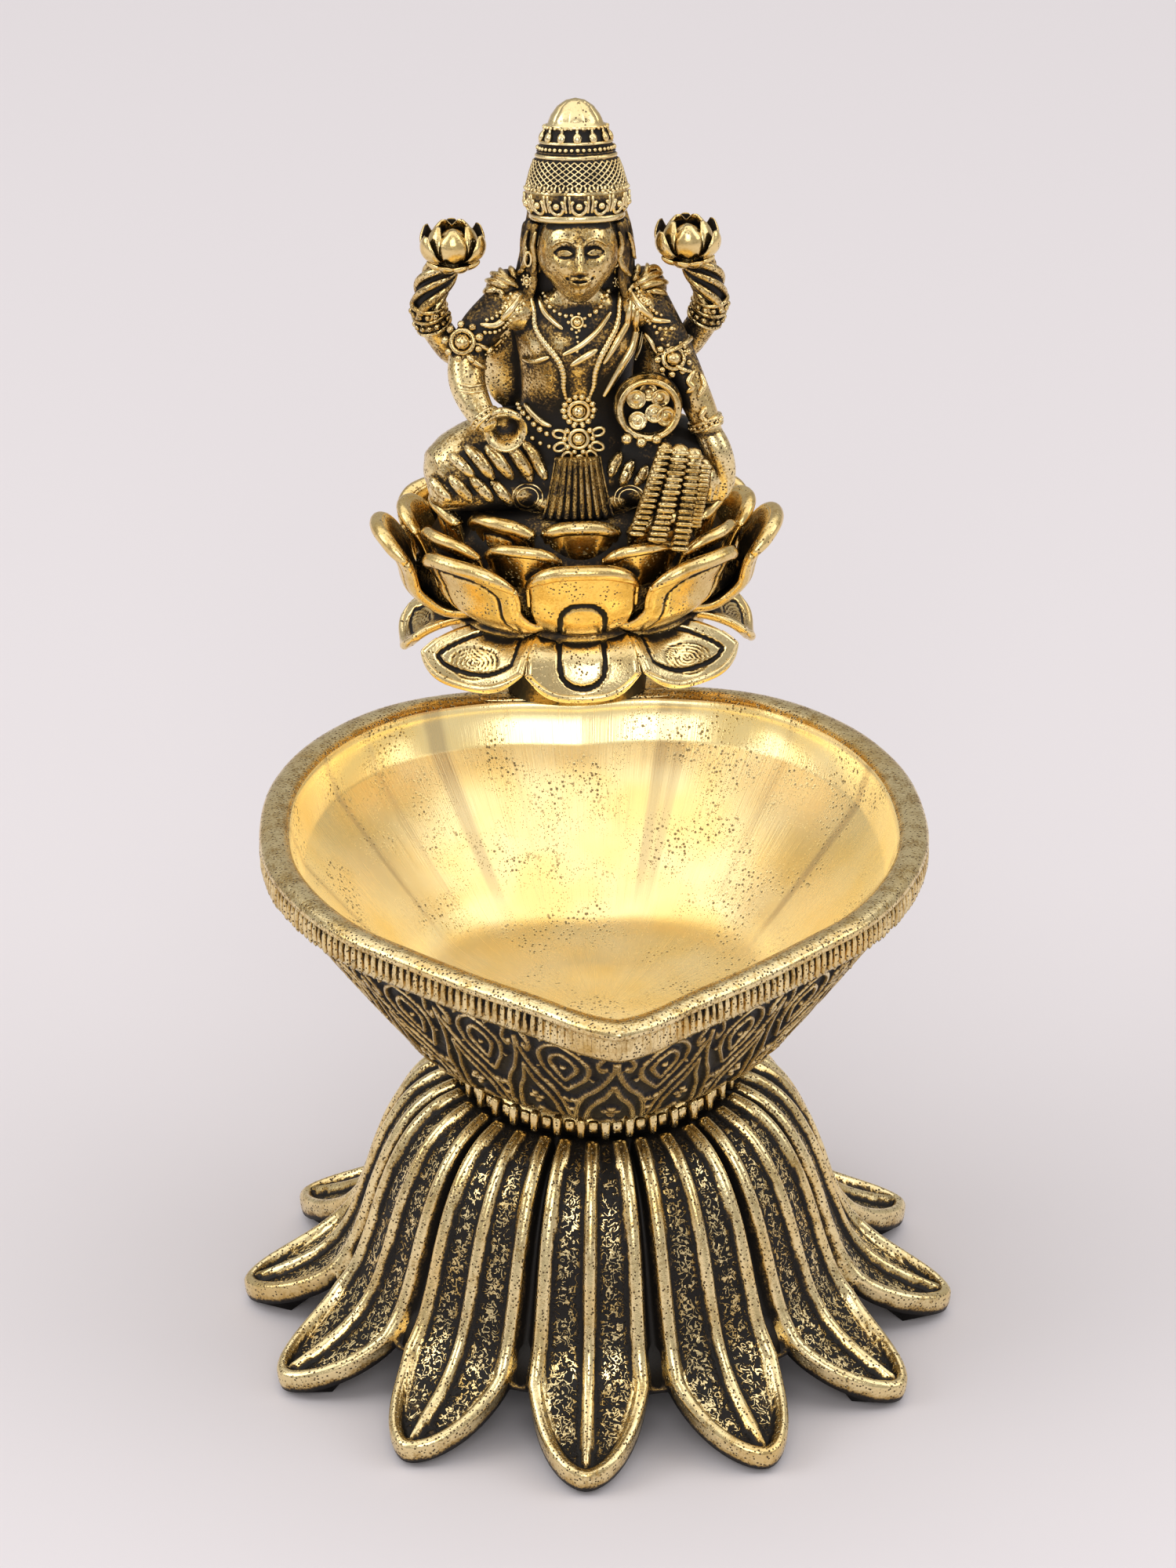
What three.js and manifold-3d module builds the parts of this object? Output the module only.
// A cast brass oil lamp: a flared petal foot, a barred collar, a leaf-shaped oil bowl with a pouring tip,
// and at its back a lotus seat that carries a seated four-armed goddess who pours coins from a pot.
// Millimetres, +Z up. The pouring tip points along -Y and the figure sits on the +Y side.
import * as THREE from "three";
import { mergeVertices } from "three/addons/utils/BufferGeometryUtils.js";
import Module from "manifold-3d";

const wasm = await Module();
wasm.setup();

// Driving sizes
const footRadius = 46; // axis of the lamp to a petal's tip
const collarHeight = 3; // the barred ring between foot and bowl
const footHeight = 35; // floor to the foot's flat top
const rimHeight = 67; // floor to the top of the bowl's rim
const bowlHalfWidth = 42;
const bowlLength = 91.4; // pouring tip to the back of the rim
const lowerTierHeight = 13; // rim to the waist between the two rows of seat petals
const upperTierHeight = 15; // waist to the top of the lotus seat
const figureHeight = 55.5; // seat top to the tip of the crown
const seam = 0.3; // clearance between two cast pieces that seat on each other
const cutOverrun = 1; // how far every cutter runs past the face it opens

const waistHeight = rimHeight + lowerTierHeight;
const seatHeight = waistHeight + upperTierHeight;
const seatCentreY = bowlLength / 2; // the seat stands over the back of the rim

// A closed geometry as a solid with its faces pointing out.
function solidOf(geometry) {
  const bare = geometry.index ? geometry.toNonIndexed() : geometry.clone();
  bare.deleteAttribute("normal");
  bare.deleteAttribute("uv");
  const merged = mergeVertices(bare);
  const triVerts = new Uint32Array(merged.index.array);
  const vertProperties = new Float32Array(merged.attributes.position.array);
  const make = () => new wasm.Manifold(new wasm.Mesh({ numProp: 3, vertProperties, triVerts }));
  const made = make();
  if (made.volume() > 0) return made;
  for (let i = 0; i < triVerts.length; i += 3) {
    [triVerts[i + 1], triVerts[i + 2]] = [triVerts[i + 2], triVerts[i + 1]];
  }
  return make();
}

const joined = (solids) => solids.reduce((all, next) => all.add(next));

// Skins a stack of closed loops. A loop of one point is a pole, and an open end is capped at its middle.
function skin(loops, wraps = false) {
  const positions = [];
  const rows = loops.map((loop) => loop.map((point) => positions.push(...point) / 3 - 1));
  const cap = (loop) => {
    const middle = [0, 1, 2].map((k) => loop.reduce((sum, point) => sum + point[k], 0) / loop.length);
    return [positions.push(...middle) / 3 - 1];
  };
  if (wraps) {
    rows.push(rows[0]);
  } else {
    if (rows[0].length > 1) rows.unshift(cap(loops[0]));
    if (rows.at(-1).length > 1) rows.push(cap(loops.at(-1)));
  }
  const faces = [];
  for (let i = 0; i + 1 < rows.length; i++) {
    const [low, high] = [rows[i], rows[i + 1]];
    const count = Math.max(low.length, high.length);
    for (let j = 0; j < count; j++) {
      const k = (j + 1) % count;
      if (low.length > 1) faces.push(low[j], low[k], high[j % high.length]);
      if (high.length > 1) faces.push(low[k % low.length], high[k], high[j]);
    }
  }
  const geometry = new THREE.BufferGeometry();
  geometry.setAttribute("position", new THREE.Float32BufferAttribute(positions, 3));
  geometry.setIndex(faces);
  return solidOf(geometry);
}

// A profile of [radius, height] points turned about the lamp's own upright direction.
function turned(profile, sides) {
  const points = profile.map(([radius, height]) => new THREE.Vector2(radius, height));
  return solidOf(new THREE.LatheGeometry(points, sides).rotateX(Math.PI / 2));
}

const rod = (radius, low, high, sides) =>
  turned([[0, low], [radius, low], [radius, high], [0, high]], sides);

function block(low, high) {
  const size = high.map((value, k) => value - low[k]);
  const middle = high.map((value, k) => (value + low[k]) / 2);
  return solidOf(new THREE.BoxGeometry(...size).translate(...middle));
}

// A smooth curve through a table of numbers, read at any share of its length.
function smoothTable(rows) {
  const last = rows.length - 1;
  return (share) => {
    const place = THREE.MathUtils.clamp(share, 0, 1) * last;
    const i = Math.min(Math.floor(place), last - 1);
    const row = (k) => rows[THREE.MathUtils.clamp(k, 0, last)];
    const t = place - i;
    return rows[0].map((_, k) => {
      const [a, b, c, d] = [row(i - 1)[k], row(i)[k], row(i + 1)[k], row(i + 2)[k]];
      return b + (t / 2) * (c - a + t * (2 * a - 5 * b + 4 * c - d + t * (3 * (b - c) + d - a)));
    });
  };
}

const mix = (a, b, share) => a + (b - a) * share;
const steps = (count) => Array.from({ length: count }, (_, i) => i);

// Petal foot: one hollow casting, a bell of petals whose tips reach the table
const petalCount = 12;
const petalTurn = THREE.MathUtils.degToRad(-5.2); // the foot is screwed on a little off the bowl's line
const footWall = 2.2;
const footTopRadius = 17.5;
const footTopPlate = 3;
const petalTipLength = 13.4; // from a petal's widest line to its tip
const ribHeight = 1.1;
const ribWidth = 1.9;
const grooveDepth = 1.3;
const tipThickness = 2.4;
const footPadLength = 3.2; // flat under each tip, where the lamp rests
const boltHoleRadius = 3.3;
const footProfileShares = [ // radius as a share of the flare, height as a share of the foot's height
  [0, 1], [0.13, 0.955], [0.24, 0.87], [0.33, 0.745], [0.395, 0.61], [0.45, 0.47],
  [0.52, 0.335], [0.63, 0.225], [0.79, 0.14], [1, 0.065],
];
const petalEdgeShares = [0.93, 0.86]; // petal's width as a share of its pitch, at the top and at the notch
const petalPointPower = 1.8; // how sharply a petal's outline comes to its point

function petalFoot() {
  const flare = footRadius - footTopRadius;
  const profile = smoothTable(
    footProfileShares.map(([out, up]) => [footTopRadius + out * flare, up * footHeight]),
  );
  const samples = steps(101).map((i) => profile(i / 100));
  const lengths = samples.map(() => 0);
  for (let i = 1; i < samples.length; i++) {
    const [from, to] = [samples[i - 1], samples[i]];
    lengths[i] = lengths[i - 1] + Math.hypot(to[0] - from[0], to[1] - from[1]);
  }
  const whole = lengths.at(-1);
  const along = (length) => {
    const i = Math.max(1, lengths.findIndex((value) => value >= Math.min(length, whole)));
    const t = (length - lengths[i - 1]) / (lengths[i] - lengths[i - 1]);
    return profile((i - 1 + t) / 100);
  };
  // Columns across half a petal: place between its middle and its edge, and the relief there.
  const columns = [
    { across: 0, relief: ribHeight },
    { across: 0.14, relief: 0 },
    { across: 0.66, relief: 0 },
    { across: 0.84, relief: ribHeight },
    { across: 1, relief: 0 },
    { across: null, relief: -grooveDepth },
  ];
  const halfPitch = Math.PI / petalCount;
  const order = [...columns.keys()].concat(columns.slice(1, -1).map((_, k) => columns.length - 2 - k));
  const spokes = steps(petalCount).flatMap((petal) =>
    order.map((column, k) => (k < columns.length
      ? { ...columns[column], petal, side: 1 }
      : { ...columns[column], petal: petal + 1, side: -1 })),
  );
  const angleOf = (spoke, share) => {
    const edge = mix(petalEdgeShares[0], petalEdgeShares[1], share);
    const across = spoke.across === null ? 1 : spoke.across * edge;
    return petalTurn + (2 * spoke.petal + spoke.side * across) * halfPitch;
  };
  const lengthOf = (spoke) => whole - petalTipLength * Math.pow(spoke.across ?? 1, petalPointPower);
  const point = (spoke, radius, height, share) => {
    const angle = angleOf(spoke, share);
    return [radius * Math.sin(angle), -radius * Math.cos(angle), Math.max(height, 0)];
  };
  // Rows of the outer face, then the rim and the hidden face.
  const outerShares = [0.13, 0.35, 0.56, 0.77, 1];
  const outer = outerShares.map((share) => (spoke) => {
    const [radius, height] = along((lengthOf(spoke) - ribWidth * 1.5) * share);
    return point(spoke, radius + spoke.relief * (1 - share / 2), height + spoke.relief * share, share);
  });
  const rimCrest = (spoke) => {
    const [radius, height] = along(lengthOf(spoke) - ribWidth / 2);
    return point(spoke, radius, height + Math.max(spoke.relief, ribHeight), 1);
  };
  const rimEdge = (spoke) => {
    const [radius, height] = along(lengthOf(spoke));
    return point(spoke, radius, height, 1);
  };
  const rimUnder = (spoke) => {
    const [radius, height] = along(lengthOf(spoke));
    return point(spoke, radius - seam, height - tipThickness, 1);
  };
  const pad = (spoke) => {
    const [radius, height] = along(lengthOf(spoke) - footPadLength);
    const underTip = (spoke.across ?? 1) < 0.5;
    return point(spoke, radius, underTip ? 0 : height - tipThickness, 1);
  };
  const innerShares = [0.72, 0.3];
  const inner = innerShares.map((share) => (spoke) => {
    const [radius, height] = along(lengthOf(spoke) * share);
    return point(spoke, radius - footWall - grooveDepth, height - footWall * share, share);
  });
  const flat = (radius, height) => (spoke) => point(spoke, radius, height, 0);
  const rows = [
    flat(boltHoleRadius, footHeight - footTopPlate),
    flat(boltHoleRadius, footHeight),
    flat(footTopRadius, footHeight),
    ...outer, rimCrest, rimEdge, rimUnder, pad, ...inner,
    flat(footTopRadius - footWall - grooveDepth, footHeight - footTopPlate),
  ];
  return skin(rows.map((row) => spokes.map(row)), true);
}

// Barred collar: a ring of upright bars with blocks between them, trapped between foot and bowl
const collarRadius = 18.1;
const collarBore = 12;
const barCount = 36;
const barRelief = 0.7;
const blockInsetShare = 0.22; // a block is lower than a bar by this share of the collar's height

function barredCollar() {
  const low = footHeight + seam;
  const spokes = steps(barCount * 2).map((k) => ({ angle: (k * Math.PI) / barCount, bar: k % 2 === 0 }));
  const loop = ({ angle, bar }) => {
    const inset = bar ? 0 : blockInsetShare * collarHeight;
    const out = collarRadius - (bar ? 0 : barRelief);
    const [floor, top] = [low + inset, low + collarHeight - inset];
    const profile = [
      [collarBore, low], [out - barRelief * 2, floor], [out, mix(floor, top, 0.3)],
      [out, mix(floor, top, 0.7)], [out - barRelief * 2, top], [collarBore, low + collarHeight],
    ];
    return profile.map(([r, z]) => [r * Math.sin(angle), -r * Math.cos(angle), z]);
  };
  return skin(spokes.map(loop), true);
}

// Oil bowl: a leaf-shaped cup with a rolled rim, a foot ring, a threaded spigot and a shelf for the seat
const bowlSides = 40;
const bowlWall = 3;
const rimWidth = 5;
const rimBandHeight = 5.2;
const bowlFootRadius = 15.6;
const bowlFootRing = 1.6;
const bowlFloorRadius = 14;
const friezeRelief = 0.4; // how far the frieze and the band under the rim stand out
const spigotRadius = 10;
const shelfHalfWidth = 13;
const shelfDepth = 9.5; // behind the rim
const shelfThickness = 4;
const shelfScrewSpacing = 13;
const shelfScrewSetback = 3.8; // behind the back of the rim
const boltRadius = 3;
const threadDepth = 7;
const threadClearance = 0.2;
// Rim outline from the pouring tip round to the back, as shares of half the bowl's length.
const rimOutlineShares = [
  [1], [0.875], [0.816], [0.803], [0.836], [0.873], [0.919], [0.961], [1.018], [1.066], [1.085], [1.05], [1],
];
const bowlProfileShares = [ // how far out, and how far up, the outside goes from foot ring to rim band
  [0, 0], [0.28, 0.09], [0.43, 0.28], [0.565, 0.477], [0.7, 0.685], [0.83, 0.893], [0.89, 1],
];

const outlineAt = smoothTable(rimOutlineShares);
const widestShare = Math.max(...steps(181).map((k) => outlineAt(k / 180)[0] * Math.sin((k * Math.PI) / 180)));
// Radius of the rim outline at an angle from the pouring tip, drawn in by some distance.
function rimRadius(angle, drawnIn) {
  const share = outlineAt(Math.abs(angle) / Math.PI)[0];
  const [x, y] = [share * Math.sin(angle) / widestShare, share * Math.cos(angle)];
  return Math.hypot(x * (bowlHalfWidth - drawnIn), y * (bowlLength / 2 - drawnIn));
}
const bowlBottom = footHeight + seam + collarHeight + seam;
const bowlFloor = bowlBottom + bowlFootRing + bowlWall;

function oilBowl() {
  const angles = steps(bowlSides).map((k) => ((2 * k) / bowlSides - 1) * Math.PI);
  const ring = (radius, height) => angles.map((a) => [radius * Math.sin(a), -radius * Math.cos(a), height]);
  const leaf = (blend, fromRadius, drawnIn, height) => angles.map((a) => {
    const radius = mix(fromRadius, rimRadius(a, drawnIn), blend);
    return [radius * Math.sin(a), -radius * Math.cos(a), height];
  });
  const bandLow = rimHeight - rimBandHeight;
  const outsideLow = bowlBottom + bowlFootRing;
  const outside = bowlProfileShares.map(([out, up]) =>
    leaf(out, bowlFootRadius, up > 0 ? -friezeRelief : 0, mix(outsideLow, bandLow, up)));
  const insideStops = [6, 4, 2, 1, 0]; // rows of the profile that the inside follows, from the rim down
  const inside = insideStops.map((k) => bowlProfileShares[k]).map(([out, up]) =>
    leaf(out, bowlFloorRadius, bowlWall, mix(bowlFloor, bandLow, up)));
  const spigotLow = footHeight + seam;
  const loops = [
    ring(spigotRadius, spigotLow),
    ring(spigotRadius, bowlBottom),
    ring(bowlFootRadius, bowlBottom),
    ...outside,
    leaf(1, bowlFootRadius, -friezeRelief, mix(bandLow, rimHeight, 0.35)),
    leaf(1, bowlFootRadius, rimWidth * 0.12, mix(bandLow, rimHeight, 0.8)),
    leaf(1, bowlFootRadius, rimWidth * 0.45, rimHeight),
    leaf(1, bowlFootRadius, rimWidth, mix(bandLow, rimHeight, 0.8)),
    ...inside,
  ];
  const cup = skin(loops);
  const backOfRim = bowlLength / 2;
  const shelfTop = rimHeight;
  const shelf = new THREE.Shape();
  shelf.moveTo(backOfRim - rimWidth / 2, shelfTop);
  shelf.lineTo(backOfRim + shelfDepth, shelfTop);
  shelf.lineTo(backOfRim + shelfDepth, shelfTop - shelfThickness);
  shelf.quadraticCurveTo(
    backOfRim, shelfTop - shelfThickness, backOfRim - bowlWall, shelfTop - shelfThickness - shelfDepth);
  shelf.closePath();
  const across = new THREE.Matrix4().set(0, 0, 1, -shelfHalfWidth, 1, 0, 0, 0, 0, 1, 0, 0, 0, 0, 0, 1);
  const corbel = new THREE.ExtrudeGeometry(shelf, {
    depth: 2 * shelfHalfWidth, bevelEnabled: false, curveSegments: 5,
  }).applyMatrix4(across);
  const inner = skin([leaf(1, 0, bowlWall, bandLow), leaf(1, 0, bowlWall, rimHeight + cutOverrun)]);
  const screwHoles = screwPlaces.map(([x, y]) => joined([
    rod(screwRadius + threadClearance, shelfTop - shelfThickness - cutOverrun, shelfTop + cutOverrun, 10),
    rod(screwHeadRadius + seam, shelfTop - shelfThickness - 2 * shelfDepth, shelfTop - shelfThickness, 10),
  ]).translate([x, y, 0]));
  const boltHole = rod(boltRadius + threadClearance, spigotLow - cutOverrun, spigotLow + threadDepth, 16);
  return joined([cup, solidOf(corbel).subtract(inner)]).subtract(joined([...screwHoles, boltHole]));
}

// Hex bolt and washer inside the hollow foot: they draw the bowl, collar and foot together
const boltHeadRadius = 5.4; // across corners
const boltHeadHeight = 4;
const washerRadius = 7;
const washerThickness = 1.2;

function footWasher() {
  const top = footHeight - footTopPlate - seam;
  const low = top - washerThickness;
  const corners = [[boltHoleRadius, low], [washerRadius, low], [washerRadius, top], [boltHoleRadius, top]];
  return turned([...corners, corners[0]], 16);
}

function footBolt() {
  const headTop = footHeight - footTopPlate - washerThickness - 2 * seam;
  const reach = footHeight + threadDepth;
  const head = rod(boltHeadRadius, headTop - boltHeadHeight, headTop, 6);
  return joined([head, rod(boltRadius, headTop - boltHeadHeight / 2, reach, 16)]);
}

// Lotus seat: an oval casting in two tiers, petals hanging below the waist and cupped above it
const seatHalfWidth = 25.5; // to the tips of the upper petals
const seatHalfDepth = 15.5;
const lowerTipRise = 5.2; // tips of the hanging petals above the rim
const lowerHalfWidth = 22.6;
const lowerHalfDepth = 14.5;
const petalThickness = 1.3;
const screwRadius = 2;
const screwLength = 12;
const screwHeadRadius = 3.5;
const screwHeadHeight = 1.6;
const screwPlaces = [-1, 1].map((side) => [
  (side * shelfScrewSpacing) / 2, bowlLength / 2 + shelfScrewSetback,
]);

const onOval = (halfWidth, halfDepth, angle) =>
  [halfWidth * Math.sin(angle), seatCentreY - halfDepth * Math.cos(angle)];

// The solid heart of a tier, from shares of how far out and how far up its side runs.
const heartSides = 12;
function heart(shares, halfWidth, halfDepth, low, top) {
  return skin(shares.map(([out, up]) => steps(heartSides).map((k) =>
    [...onOval(out * halfWidth, out * halfDepth, (2 * Math.PI * k) / heartSides), mix(low, top, up)])));
}

// One petal. Its root and its tip lie on ovals round the seat, and it faces square to the oval at a third
// angle. The spine holds shares of its reach, its rise and how far it has spread to its tip's width.
function seatPetal({ root, tip, face, rootHeight, tipHeight, halfWidths, spineShares, cup, rows }) {
  const [x0, y0] = onOval(...root);
  const [x1, y1] = onOval(...tip);
  const [halfWidth, halfDepth] = tip;
  const across = new THREE.Vector2(halfWidth * Math.cos(face), halfDepth * Math.sin(face)).normalize();
  const spine = smoothTable(spineShares);
  const place = (t) => {
    const [r, h, spread] = spine(t);
    return [mix(x0, x1, r), mix(y0, y1, r), mix(rootHeight, tipHeight, h), mix(...halfWidths, spread)];
  };
  const loops = steps(rows + 1).map((i) => {
    const t = i / rows;
    const [x, y, z, w] = place(t);
    const [xa, ya, za] = place(Math.max(0, t - 0.05));
    const [xb, yb, zb] = place(Math.min(1, t + 0.05));
    const run = (xb - xa) * across.y - (yb - ya) * across.x;
    const slope = Math.hypot(run, zb - za);
    const [outward, upward] = [-(zb - za) / slope, run / slope];
    const row = (lift, from, to) => [0, 0.5, 1].map((share) => {
      const v = mix(from, to, share);
      const push = cup * v * v + lift;
      return [
        x + across.x * w * v + across.y * outward * push,
        y + across.y * w * v - across.x * outward * push,
        z + upward * push,
      ];
    });
    const half = petalThickness / 2;
    return [...row(-half, -1, 1), ...row(half, 1, -1)];
  });
  return skin(loops);
}

const cuppedSpineShares = [
  [0, 0, 0], [0.34, 0.02, 0.3], [0.68, 0.26, 0.72], [0.78, 0.55, 0.9], [0.93, 0.83, 1], [1.03, 1, 0.5],
];
const hangingSpineShares = [
  [0, 0, 0], [0.35, 0.08, 0.4], [0.65, 0.3, 0.8], [0.86, 0.62, 1], [1, 1, 0.55],
];
const lowerHeartShares = [[0.56, 0], [0.56, 0.38], [0.74, 0.75], [0.78, 1]];
const upperHeartShares = [[0.56, 0], [0.7, 0.1], [0.76, 0.3], [0.72, 0.6], [0.66, 0.88], [0.62, 1]];
// Petals of a row from the front round one side to the back: degrees of the tip, the root and the face,
// half-widths at root and tip as shares of the tier's half-width, and how much higher than the first one's tip
// this tip ends, as a share of the tier's height. The seat was modelled by hand, so no two are alike.
const lowerPetals = [
  [0, 0, 0, 0.248, 0.303, 0], [42, 33, 44, 0.106, 0.3, 0.03], [88, 80, 90, 0.155, 0.23, 0.16],
  [134, 128, 134, 0.177, 0.3, 0.1], [180, 180, 180, 0.248, 0.303, 0],
];
const upperOuterPetals = [
  [0, 0, 0, 0.2, 0.287, 0], [40, 29, 54, 0.09, 0.25, -0.02], [86, 66, 88, 0.13, 0.2, 0.03],
  [132, 122, 128, 0.15, 0.25, 0.06], [180, 180, 180, 0.2, 0.287, 0],
];
const upperMiddlePetals = [
  [21.5, 19, 25, 0.12, 0.185, 0], [54, 48, 62, 0.12, 0.18, 0], [96, 92, 96, 0.12, 0.17, 0.03],
  [142, 140, 142, 0.12, 0.185, 0],
];
const upperInnerPetals = [
  [0, 0, 0, 0.12, 0.175, 0], [36, 32, 45, 0.12, 0.165, 0], [76, 72, 82, 0.12, 0.15, 0],
  [120, 120, 120, 0.12, 0.17, 0], [160, 160, 160, 0.12, 0.17, 0],
];
const lowerRootShare = 0.6;
const upperRowShares = [ // where a row of petals is rooted, and how far and high its tips reach
  { petals: upperOuterPetals, root: 0.62, tip: 1, top: 0.79, rows: 5 },
  { petals: upperMiddlePetals, root: 0.5, tip: 0.87, top: 0.9, rows: 2 },
  { petals: upperInnerPetals, root: 0.5, tip: 0.72, top: 1.03, rows: 2 },
];

// A row of petals, mirrored from one side of the seat to the other.
function petalRow(petals, halfWidth, halfDepth, rootShare, tipShare, shape) {
  return petals.flatMap(([tip, root, face, rootWidth, tipWidth, lift]) => {
    const sides = tip % 180 === 0 ? [1] : [-1, 1];
    return sides.map((side) => {
      const turnTo = (degrees) => side * THREE.MathUtils.degToRad(degrees);
      return seatPetal({
        root: [halfWidth * rootShare, halfDepth * rootShare, turnTo(root)],
        tip: [halfWidth * tipShare, halfDepth * tipShare, turnTo(tip)],
        face: turnTo(face),
        halfWidths: [halfWidth * rootWidth, halfWidth * tipWidth],
        ...shape,
        tipHeight: shape.tipHeight + lift * shape.tierHeight,
      });
    });
  });
}

function lotusLowerTier() {
  const core = heart(lowerHeartShares, lowerHalfWidth, lowerHalfDepth, rimHeight, waistHeight);
  const petals = petalRow(lowerPetals, lowerHalfWidth, lowerHalfDepth, lowerRootShare, 1, {
    rootHeight: waistHeight - petalThickness,
    tipHeight: rimHeight + lowerTipRise,
    tierHeight: lowerTierHeight,
    spineShares: hangingSpineShares,
    cup: -petalThickness,
    rows: 3,
  });
  const above = block([-footRadius, 0, waistHeight], [footRadius, seatCentreY * 2, seatHeight]);
  const hole = rod(screwRadius + threadClearance, rimHeight - cutOverrun, screwTop + threadClearance, 10);
  const holes = screwPlaces.map(([x, y]) => hole.translate([x, y, 0]));
  return joined([core, ...petals]).subtract(joined([above, ...holes]));
}
const screwTop = rimHeight - shelfThickness - seam + screwLength;

function lotusUpperTier(figure) {
  const core = heart(upperHeartShares, seatHalfWidth, seatHalfDepth, waistHeight, seatHeight + seam);
  const petals = upperRowShares.flatMap((row) =>
    petalRow(row.petals, seatHalfWidth, seatHalfDepth, row.root, row.tip, {
      rootHeight: waistHeight + petalThickness / 2,
      tipHeight: mix(waistHeight, seatHeight, row.top),
      tierHeight: upperTierHeight,
      spineShares: cuppedSpineShares,
      cup: petalThickness,
      rows: row.rows,
    }));
  const below = block([-footRadius, 0, 0], [footRadius, seatCentreY * 2, waistHeight]);
  return joined([core, ...petals]).subtract(joined([below, figure]));
}

function seatScrew([x, y]) {
  const headTop = rimHeight - shelfThickness - seam;
  return joined([
    rod(screwHeadRadius, headTop - screwHeadHeight, headTop, 10),
    rod(screwRadius, headTop - screwHeadHeight / 2, screwTop, 10),
  ]).translate([x, y, 0]);
}

// The figure. Its tables are shares, in hundredths, of its height, measured from the middle of the seat's
// top: x to the viewer's right, y towards the back, z up.
const figureUnit = figureHeight / 100;
const sized = (shares) => Object.fromEntries(
  Object.entries(shares).map(([name, share]) => [name, share * figureUnit]));
const placed = ([x, y, z]) => [x * figureUnit, seatCentreY + y * figureUnit, seatHeight + z * figureUnit];

// An egg from shares [x, y, z, rx, ry, rz], swollen by grow.
function egg([x, y, z, rx, ry, rz], grow = 0, sides = 12) {
  return solidOf(new THREE.SphereGeometry(1, sides, Math.round(sides * 0.6))
    .scale(rx * figureUnit + grow, ry * figureUnit + grow, rz * figureUnit + grow)
    .translate(...placed([x, y, z])));
}

// A round-ended limb through shares [x, y, z, radius].
function limb(shares, grow = 0, sides = 8, stations = 3) {
  const middles = shares.map(([x, y, z]) => new THREE.Vector3(...placed([x, y, z])));
  const radii = smoothTable(shares.map((row) => [row[3] * figureUnit]));
  const curve = new THREE.CatmullRomCurve3(middles, false, "centripetal");
  const count = (shares.length - 1) * stations;
  const { normals, binormals } = curve.computeFrenetFrames(count);
  const loops = [];
  const ringAt = (centre, i, radius) => steps(sides).map((k) => {
    const a = (2 * Math.PI * k) / sides;
    return centre.clone()
      .addScaledVector(normals[i], radius * Math.cos(a))
      .addScaledVector(binormals[i], radius * Math.sin(a)).toArray();
  });
  const bulge = (end, i, sign) => {
    const radius = radii(end)[0] + grow;
    const tangent = curve.getTangentAt(end).multiplyScalar(sign * radius);
    const centre = curve.getPointAt(end);
    return [
      ringAt(centre.clone().addScaledVector(tangent, 0.7), i, radius * 0.71),
      [centre.clone().add(tangent).toArray()],
    ];
  };
  for (let i = 0; i <= count; i++) {
    loops.push(ringAt(curve.getPointAt(i / count), i, radii(i / count)[0] + grow));
  }
  const [startRing, startPole] = bulge(0, 0, -1);
  const [endRing, endPole] = bulge(1, count, 1);
  return skin([startPole, startRing, ...loops, endRing, endPole]);
}

// Stacked ovals from shares [y, z, rx, ry].
function ovalStack(shares, grow, sides) {
  return skin(shares.map(([y, z, rx, ry]) => steps(sides).map((k) => {
    const a = (2 * Math.PI * k) / sides;
    const [cx, cy, cz] = placed([0, y, z]);
    return [cx + (rx * figureUnit + grow) * Math.sin(a), cy - (ry * figureUnit + grow) * Math.cos(a), cz];
  })));
}

const torsoShares = [
  [-1, 0, 18, 12], [-1, 16, 15.4, 10], [-1, 24, 13.2, 8.2], [-2, 32, 13, 8.6], [-2.5, 40, 14, 9.2],
  [-1.5, 46.5, 15.2, 8.2], [-1.5, 50.5, 12, 6.4], [-3, 54, 6, 5], [-5, 60, 4.8, 4.8],
];
const bosomShares = [6.4, -7.2, 41, 5.9, 4.6, 5.6];
const shoulderShares = [13.5, -2, 48.5, 5.4, 6, 5];
const hairShares = [0, 1.5, 57, 12, 6.6, 17];
const lockShares = [16.5, -0.5, 53, 7, 5.4, 6.6]; // curls of hair on each shoulder
const lapShares = [0, -1, 7.5, 20, 12.5, 8.5];
const thighShares = [[9, 2, 10.5, 11], [21, -2.5, 10.8, 10.2], [29, -5.5, 9.5, 8.6]];
const shinShares = [[31, -8.5, 6.4, 5.4], [20, -9, 5.6, 4.8], [11.5, -9, 5, 3.5], [3, -9.5, 4.2, 3.2]];

// The head and crown lean back together about the base of the neck; their own tables start there.
const neckShares = [0, -7.6, 55.3];
const headLean = 15; // degrees
const headShares = [-1, 9.4, 8.1, 8.8, 11.2]; // y and z of its middle, then its radii
const skullShares = [3.4, 11, 9.8, 8.4, 11];
const leaned = (solid) => solid.rotate([-headLean, 0, 0]).translate(placed(neckShares));

const bodySides = 12;
const hairSides = 10;
const limbSides = 8;

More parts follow.
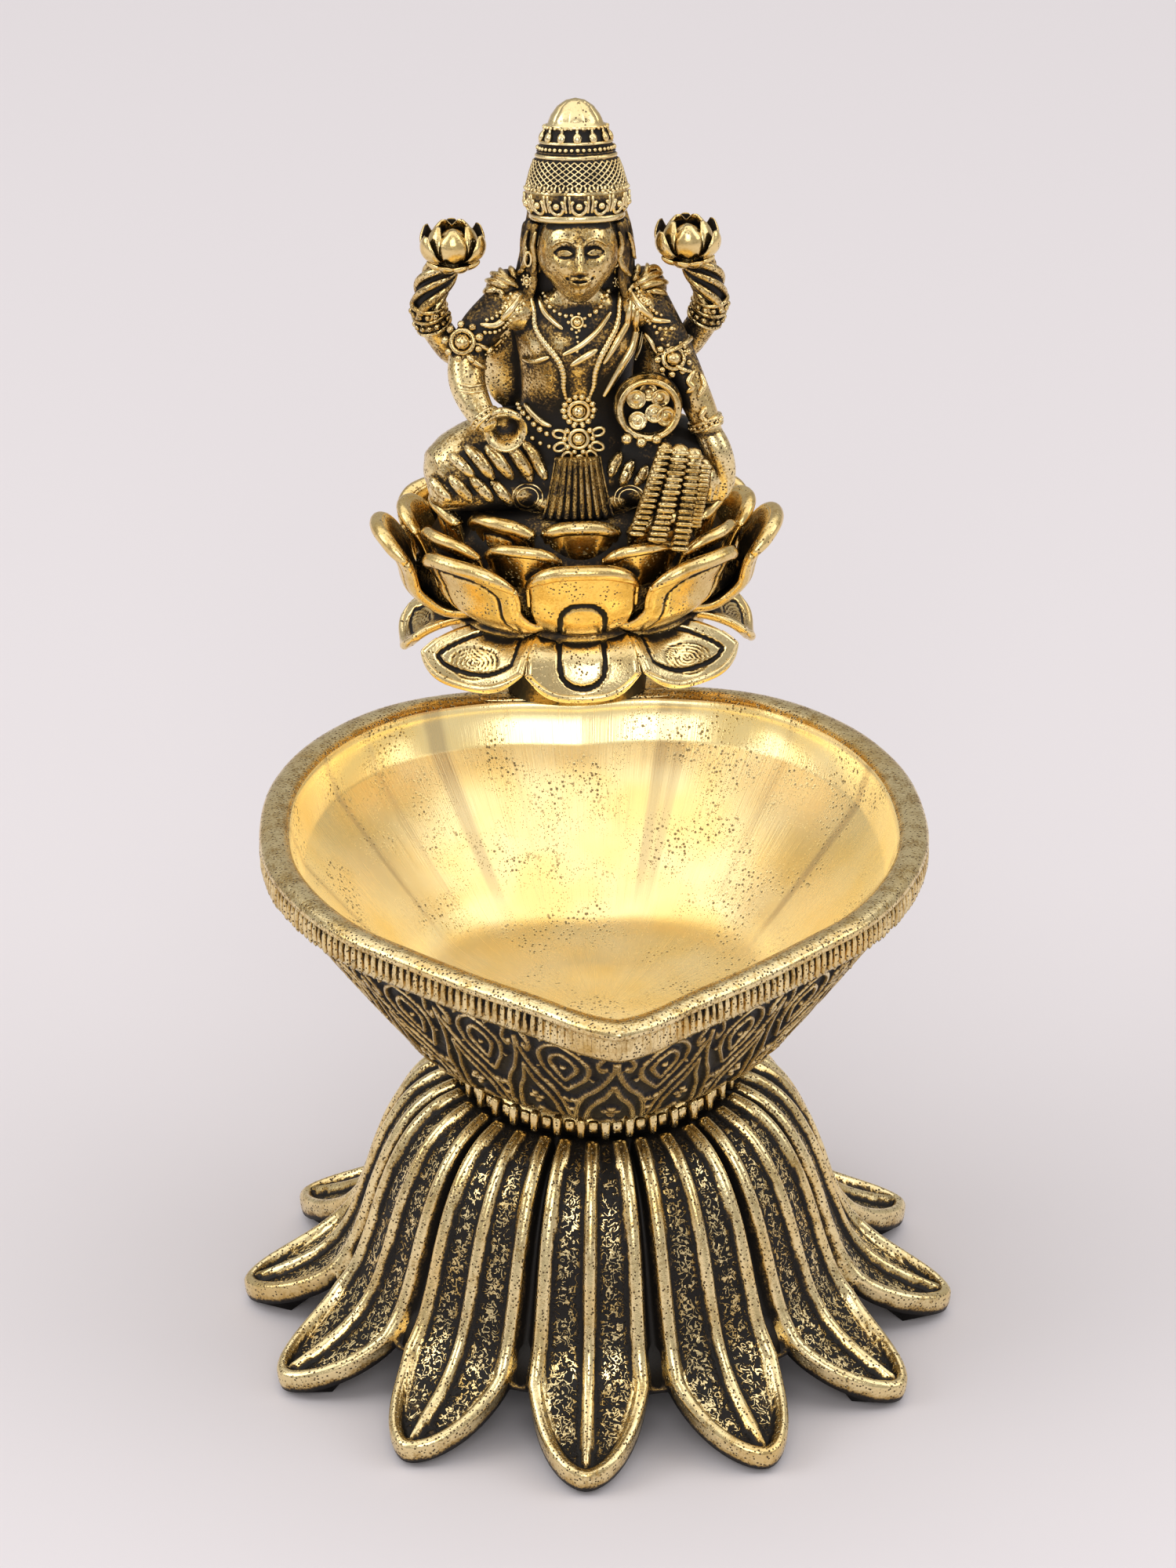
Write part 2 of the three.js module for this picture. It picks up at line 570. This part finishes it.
function seatedFigure(grow = 0) {
  const floor = seatHeight - grow;
  const onNeck = ([y, z, rx, ry, rz], sides) => leaned(solidOf(
    new THREE.SphereGeometry(1, sides, Math.round(sides * 0.6))
      .scale(rx * figureUnit + grow, ry * figureUnit + grow, rz * figureUnit + grow)
      .translate(0, y * figureUnit, z * figureUnit)));
  const pieces = [
    ovalStack(torsoShares, grow, bodySides),
    onNeck(headShares, bodySides),
    onNeck(skullShares, limbSides),
    egg(hairShares, grow, hairSides),
    egg(lapShares, grow, hairSides),
    ...[-1, 1].flatMap((side) => {
      const flip = ([x, ...rest]) => [side * x, ...rest];
      return [
        egg(flip(bosomShares), grow, limbSides),
        egg(flip(shoulderShares), grow, limbSides),
        egg(flip(lockShares), grow, limbSides),
        limb(thighShares.map(flip), grow, hairSides, 1),
        limb(shinShares.map(flip), grow, limbSides, 1),
      ];
    }),
  ];
  const reach = figureHeight;
  const under = block([-reach, seatCentreY - reach, floor - reach], [reach, seatCentreY + reach, floor]);
  return joined(pieces).subtract(under);
}

// Crown: a tall cap of bands, netted bulge, bead ring and budded top, flattened from front to back. Its rings
// are shares [radius, height up the leaning neck].
const crownShares = [
  [0, 16.2], [10, 16.2], [11.1, 17.2], [10.6, 18.2], [12.5, 22], [12.3, 24], [9.3, 30.6], [9.5, 31.4],
  [8.4, 34.2], [7.8, 34.8], [6.9, 37.2], [7, 38], [4.1, 42.2], [2.2, 43.6], [0, 44.1],
];
const crownFlatness = 0.82;

function crown(figure) {
  const cap = turned(crownShares.map(([r, h]) => [r * figureUnit, h * figureUnit]), 12);
  return leaned(cap.scale([1, crownFlatness, 1])).subtract(figure);
}

// Rear arms, each raising a lotus bud
const rearArmShares = [
  [15, 5, 47, 4.6], [21, 5.5, 38.4, 4.2], [26, 4.8, 35, 3.6], [30, 4, 40, 3.6], [32.6, 2.6, 47, 3.6],
  [31, 1.2, 54.6, 3.6], [28.2, 0.6, 58.6, 3],
];
const rearShiftShare = -1.4; // both raised arms stand this far over to the figure's right
const braceletShares = [32.5, 2.6, 47]; // middle of the cuff round the wrist
const braceletSizeShares = { radius: 4, width: 3.4 };
const bracelet = sized(braceletSizeShares);
const budCentreShares = [27, 0.4, 64.2];
const budPetalCount = 6;
const budSizeShares = { radius: 8.3, height: 10.4 };
const bud = sized(budSizeShares);

function rearArm(side, cutter) {
  const flip = ([x, ...rest]) => [side * x + rearShiftShare, ...rest];
  const arm = limb(rearArmShares.map(flip), 0, limbSides, 1);
  const cuff = rod(bracelet.radius, -bracelet.width / 2, bracelet.width / 2, hairSides)
    .translate(placed(flip(braceletShares)));
  return joined([arm, cuff]).subtract(cutter);
}

// A bud: upright petals closed round a heart, over a lower whorl that spreads.
const budShares = [ // height, then radius on a petal's middle and between two petals
  [-0.5, 0.12, 0.12], [-0.46, 0.5, 0.4], [-0.36, 0.98, 0.55], [-0.26, 0.62, 0.5], [-0.12, 0.86, 0.66],
  [0.12, 0.9, 0.62], [0.34, 0.72, 0.46], [0.5, 0.5, 0.2],
];
function lotusBud(side, grow = 0) {
  const [across, ...rest] = budCentreShares;
  const [x, y, z] = placed([side * across + rearShiftShare, ...rest]);
  return skin(budShares.map(([up, middle, between]) => steps(budPetalCount * 2).map((k) => {
    const angle = (k * Math.PI) / budPetalCount;
    const radius = (k % 2 ? between : middle) * bud.radius + grow;
    return [x + radius * Math.sin(angle), y - radius * Math.cos(angle), z + up * (bud.height + 2 * grow)];
  })));
}

// Front arms: the right hand gives over the knee, the left steadies the pot
const rightArmShares = [
  [-17.5, -1, 48.5, 4.8], [-22.5, -3.5, 44, 4.7], [-25.2, -6, 39.4, 4.4], [-25.8, -9.5, 34.1, 4.3],
  [-24, -14, 29.8, 3.7], [-21.4, -17.4, 26.9, 3], [-17.6, -19.4, 25.6, 4.2],
];
const leftArmShares = [
  [17, -1, 48, 4.8], [20.4, -4, 42, 4.6], [23, -5.6, 36.5, 4.4], [25.8, -7.5, 30.6, 4], [28.6, -9, 24, 3.7],
  [31.6, -11.2, 16.6, 3.3], [33.4, -12.2, 8, 2.5],
];
const rightBandShares = [-24.8, -8.6, 42.8, 3.6, 2.2, 3.6];
const leftBandShares = [22.6, -8.6, 40, 3.6, 2.2, 3.6];

const armWithBand = (armShares, bandShares, grow) =>
  joined([limb(armShares, grow, limbSides, 1), egg(bandShares, grow, limbSides)]);

// Coin pot, tipped forward, with a ringed mouth
const potSizeShares = { radius: 8.4, mouth: 6.8, mouthDepth: 2.9, ring: 1.35 };
const pot = sized(potSizeShares);
const potCentreShares = [15.8, -15.4, 28.4];
const potTilt = THREE.MathUtils.degToRad(80); // mouth forward and a little up
const potTurn = THREE.MathUtils.degToRad(-4);

function coinPot(grow = 0) {
  const mouthHeight = pot.radius * 0.95;
  const profile = [
    [0, -pot.radius - grow], [pot.radius * 0.62 + grow, -pot.radius * 0.8], [pot.radius + grow, 0],
    [pot.radius * 0.82 + grow, pot.radius * 0.6], [pot.mouth + grow, mouthHeight],
    [pot.mouth - pot.ring - grow, mouthHeight + grow],
    [pot.mouth - pot.ring - grow, mouthHeight + grow - pot.mouthDepth],
    [0, mouthHeight + grow - pot.mouthDepth],
  ];
  const turn = new THREE.Matrix4().makeRotationZ(potTurn)
    .multiply(new THREE.Matrix4().makeRotationX(potTilt))
    .setPosition(...placed(potCentreShares));
  return turned(profile, 16).transform(turn.elements);
}

// Coins sliding from the pot to the seat: side by side, columns of coins seen on edge
const coinSizeShares = { radius: 2.15, thickness: 1.45, relief: 1 }; // relief: how far an edge stands proud
const coin = sized(coinSizeShares);
const coinColumns = 4;
const valleyShare = 0.35; // of a coin's radius, where two columns meet
const coinTopShares = [24, -19.8, 18.6];
const coinFootShares = [19.4, -23, 0];
const coinPitchShares = [3.1, 4.3]; // between the middles of two columns, at the top and at the foot

function coinStream() {
  const [top, foot] = [coinTopShares, coinFootShares].map(placed);
  const fall = Math.hypot(foot[1] - top[1], foot[2] - top[2]);
  const down = [(foot[1] - top[1]) / fall, (foot[2] - top[2]) / fall];
  const coins = Math.round(fall / coin.thickness);
  return skin(steps(2 * coinColumns + 1).map((station) => {
    const crest = coin.radius * (station % 2 ? 1 : valleyShare);
    const edge = steps(2 * coins + 1).map((k) => [k / (2 * coins), crest - (k % 2 ? 0 : coin.relief)]);
    const back = [[1, -coin.radius], [0, -coin.radius]];
    return [...edge, ...back].map(([share, out]) => [
      mix(top[0], foot[0], share) + (station - coinColumns) / 2 * mix(...coinPitchShares, share) * figureUnit,
      mix(top[1], foot[1], share) + down[1] * out,
      mix(top[2], foot[2], share) - down[0] * out,
    ]);
  }));
}

// Pleated fall of the skirt between the shins
const pleatTopShares = [-13.4, 15.3];
const pleatFootShares = [-16.4, 1.1];
const pleatSizeShares = { topHalfWidth: 5.7, footHalfWidth: 8.4, thickness: 2.4, depth: 0.9 };
const pleat = sized(pleatSizeShares);
const pleatFolds = 6;

function frontPleats(grow = 0) {
  const ends = [pleatTopShares, pleatFootShares].map(([y, z]) => placed([0, y, z]));
  const loops = [0, 0.5, 1].map((t) => {
    const half = mix(pleat.topHalfWidth, pleat.footHalfWidth, t) + grow;
    const [, y, z] = ends[0].map((value, k) => mix(value, ends[1][k], t));
    const across = steps(pleatFolds * 2 + 1).map((k) => {
      const v = k / pleatFolds - 1;
      return [half * v, y - pleat.thickness / 2 - grow - (k % 2 ? pleat.depth : 0), z];
    });
    return [...across, [half, y + pleat.thickness / 2 + grow, z], [-half, y + pleat.thickness / 2 + grow, z]];
  });
  return skin(loops);
}

// Finishes, read off the photograph
const antiqueBrass = { color: 0xb08d47, roughness: 0.38, metalness: 1 };
const polishedBrass = { color: 0xe3bd5c, roughness: 0.2, metalness: 1 };
const steel = { color: 0xa9a9a6, roughness: 0.4, metalness: 1 };

// Corners closer than the weld grid are drawn together, which clears the slivers that cuts leave.
const weldGrid = 0.01;
function welded({ numProp, vertProperties, triVerts, numVert }) {
  const places = new Map();
  const positions = [];
  const index = steps(numVert).map((i) => {
    const corner = [...vertProperties.subarray(i * numProp, i * numProp + 3)];
    const spot = corner.map((v) => Math.round(v / weldGrid));
    const key = spot.join();
    if (!places.has(key)) {
      places.set(key, positions.length / 3);
      positions.push(...spot.map((v) => v * weldGrid));
    }
    return places.get(key);
  });
  const faces = [];
  for (let i = 0; i < triVerts.length; i += 3) {
    const face = [0, 1, 2].map((k) => index[triVerts[i + k]]);
    if (new Set(face).size === 3) faces.push(...face);
  }
  const geometry = new THREE.BufferGeometry();
  geometry.setAttribute("position", new THREE.Float32BufferAttribute(positions, 3));
  geometry.setIndex(faces);
  return geometry;
}

const lamp = new THREE.Group();
function addPiece(name, solid, finish) {
  const mesh = new THREE.Mesh(welded(solid.getMesh()), new THREE.MeshStandardMaterial(finish));
  mesh.name = name;
  lamp.add(mesh);
}

const figure = seatedFigure();
const figureRoom = seatedFigure(seam);
const rightArm = armWithBand(rightArmShares, rightBandShares, 0);
const leftArm = armWithBand(leftArmShares, leftBandShares, 0);
const rightArmRoom = armWithBand(rightArmShares, rightBandShares, seam);
const leftArmRoom = armWithBand(leftArmShares, leftBandShares, seam);
const potRoom = coinPot(seam);
const pleatRoom = frontPleats(seam);

addPiece("petal_base", petalFoot(), antiqueBrass);
addPiece("barred_collar", barredCollar(), antiqueBrass);
addPiece("oil_bowl", oilBowl(), polishedBrass);
addPiece("foot_washer", footWasher(), steel);
addPiece("foot_bolt", footBolt(), steel);
addPiece("lotus_lower_tier", lotusLowerTier(), antiqueBrass);
addPiece("lotus_upper_tier", lotusUpperTier(figureRoom.add(pleatRoom)), antiqueBrass);
addPiece("seat_screw_right", seatScrew(screwPlaces[0]), steel);
addPiece("seat_screw_left", seatScrew(screwPlaces[1]), steel);
addPiece("seated_figure", figure, antiqueBrass);
addPiece("crown", crown(figureRoom), antiqueBrass);
addPiece("right_rear_arm", rearArm(-1, joined([figureRoom, rightArmRoom, lotusBud(-1, seam)])), antiqueBrass);
addPiece("left_rear_arm", rearArm(1, joined([figureRoom, leftArmRoom, lotusBud(1, seam)])), antiqueBrass);
addPiece("right_lotus_bud", lotusBud(-1), antiqueBrass);
addPiece("left_lotus_bud", lotusBud(1), antiqueBrass);
addPiece("right_front_arm", rightArm.subtract(figureRoom), antiqueBrass);
addPiece("left_front_arm", leftArm.subtract(joined([figureRoom, potRoom])), antiqueBrass);
addPiece("coin_pot", coinPot().subtract(figureRoom), antiqueBrass);
addPiece("coin_stream", coinStream().subtract(joined([figureRoom, potRoom, leftArmRoom])), antiqueBrass);
addPiece("front_pleats", frontPleats().subtract(figureRoom), antiqueBrass);

// The frame's origin is on the table, under the middle of the whole lamp.
const box = new THREE.Box3().setFromObject(lamp);
lamp.position.y = -(box.min.y + box.max.y) / 2;

export default lamp;
